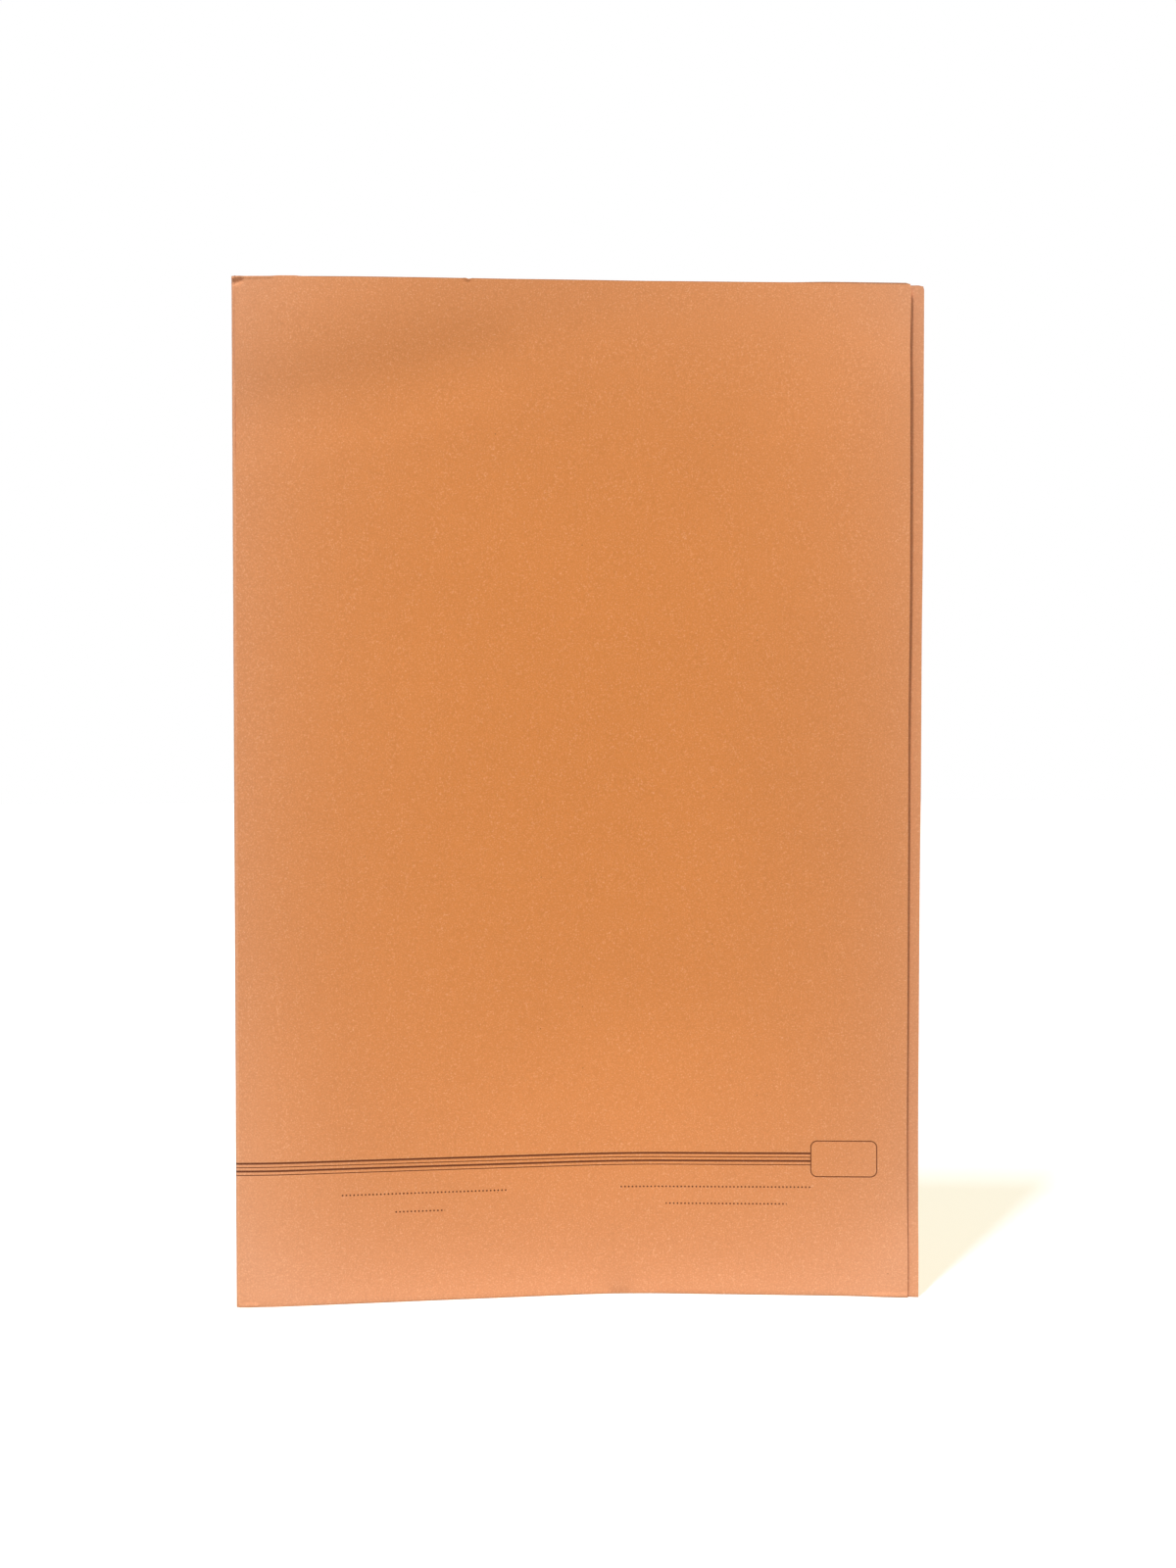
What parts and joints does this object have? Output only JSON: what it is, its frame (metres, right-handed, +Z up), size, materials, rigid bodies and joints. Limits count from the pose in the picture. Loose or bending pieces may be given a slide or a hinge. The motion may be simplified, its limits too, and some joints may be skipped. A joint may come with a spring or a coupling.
{
  "type": "file folder",
  "caption": "Square-cut document folder in manilla board: a front leaf and a wider back leaf joined along a scored fold, standing upright and nearly closed.",
  "frame": {"origin": "centre of the folder's footprint, on the surface that it stands on", "axes": "+Z up along the fold, +X along the foot of the front leaf from the fold to the free edges, +Y from the front leaf to the back leaf"},
  "size_m": [0.2372, 0.026, 0.35],
  "materials": {
    "printed_manilla_board": "matt uncoated manilla board with plain printed rules near the foot",
    "manilla_board": "matt uncoated manilla board",
    "scored_manilla_board": "matt uncoated manilla board, scored and folded"
  },
  "bodies": {
    "back": {"back_leaf": "manilla_board", "spine_fold": "scored_manilla_board"},
    "front": {"front_leaf": "printed_manilla_board"}
  },
  "joints": [
    {"name": "front_leaf_opens", "type": "hinge", "parent": "back", "child": "front", "pos_m": [-0.11772, -0.0113, 0.175], "axis": [0, 0, -1], "range_deg": [0, 180], "deforming": ["spine_fold"]}
  ]
}
